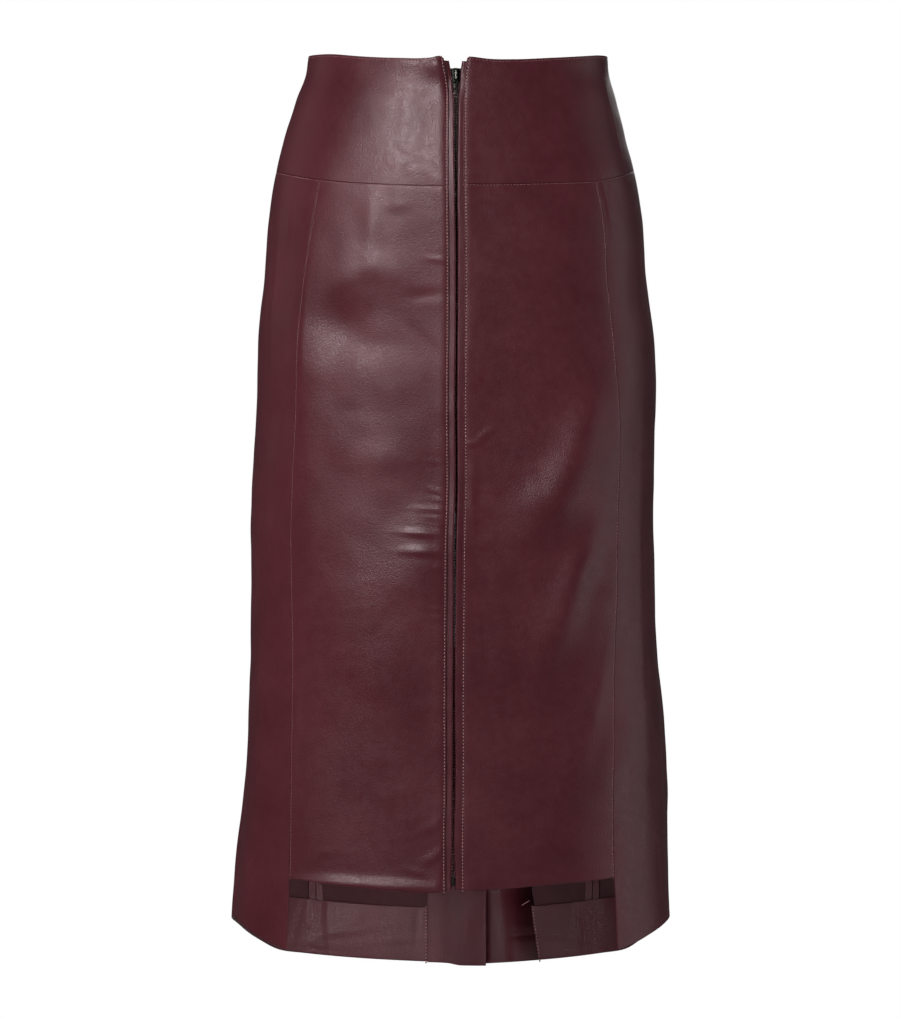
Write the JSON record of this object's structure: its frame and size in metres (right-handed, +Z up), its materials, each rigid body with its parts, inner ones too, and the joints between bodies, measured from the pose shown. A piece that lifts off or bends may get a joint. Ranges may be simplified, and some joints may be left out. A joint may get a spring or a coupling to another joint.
{
  "type": "leather skirt",
  "caption": "Leather pencil skirt with a shaped hip yoke, panelled body, centre front zip with a pull tab, stepped hem with front slits and a lapped back vent.",
  "frame": {"origin": "centre of the waist opening at the height of its side edge, where the wearer holds the skirt up", "axes": "+Z up along the wearer, -Y is the wearer's front, +X is the wearer's left side"},
  "size_m": [0.3729, 0.2443, 0.778],
  "materials": {
    "leather": "satin, finely pebbled, dark burgundy",
    "zip_tape": "black woven tape",
    "zip_metal": "dark gunmetal plating, worn bright on its edges"
  },
  "bodies": {
    "skirt": {"yoke_front_right": "leather", "yoke_front_left": "leather", "yoke_back": "leather", "front_panel_right": "leather", "front_panel_left": "leather", "side_front_right": "leather", "side_front_left": "leather", "side_back_right": "leather", "side_back_left": "leather", "back_panel_right": "leather", "back_panel_left": "leather", "hem_facing_right": "leather", "hem_facing_left": "leather", "vent_facing_left": "leather", "vent_underlay_right": "leather", "zip_strip_right": "leather", "zip_strip_left": "leather", "zip_tape_right": "zip_tape", "zip_tape_left": "zip_tape", "zip_chain": "zip_metal", "zip_slider": "zip_metal", "zip_bottom_box": "zip_metal"},
    "zip_pull": {"zip_pull": "zip_metal"}
  },
  "joints": [
    {"name": "zip_pull_swing", "type": "hinge", "parent": "skirt", "child": "zip_pull", "pos_m": [0.00058, -0.0869, -0.02341], "axis": [-1, 0, 0], "range_deg": [0, 145]}
  ]
}
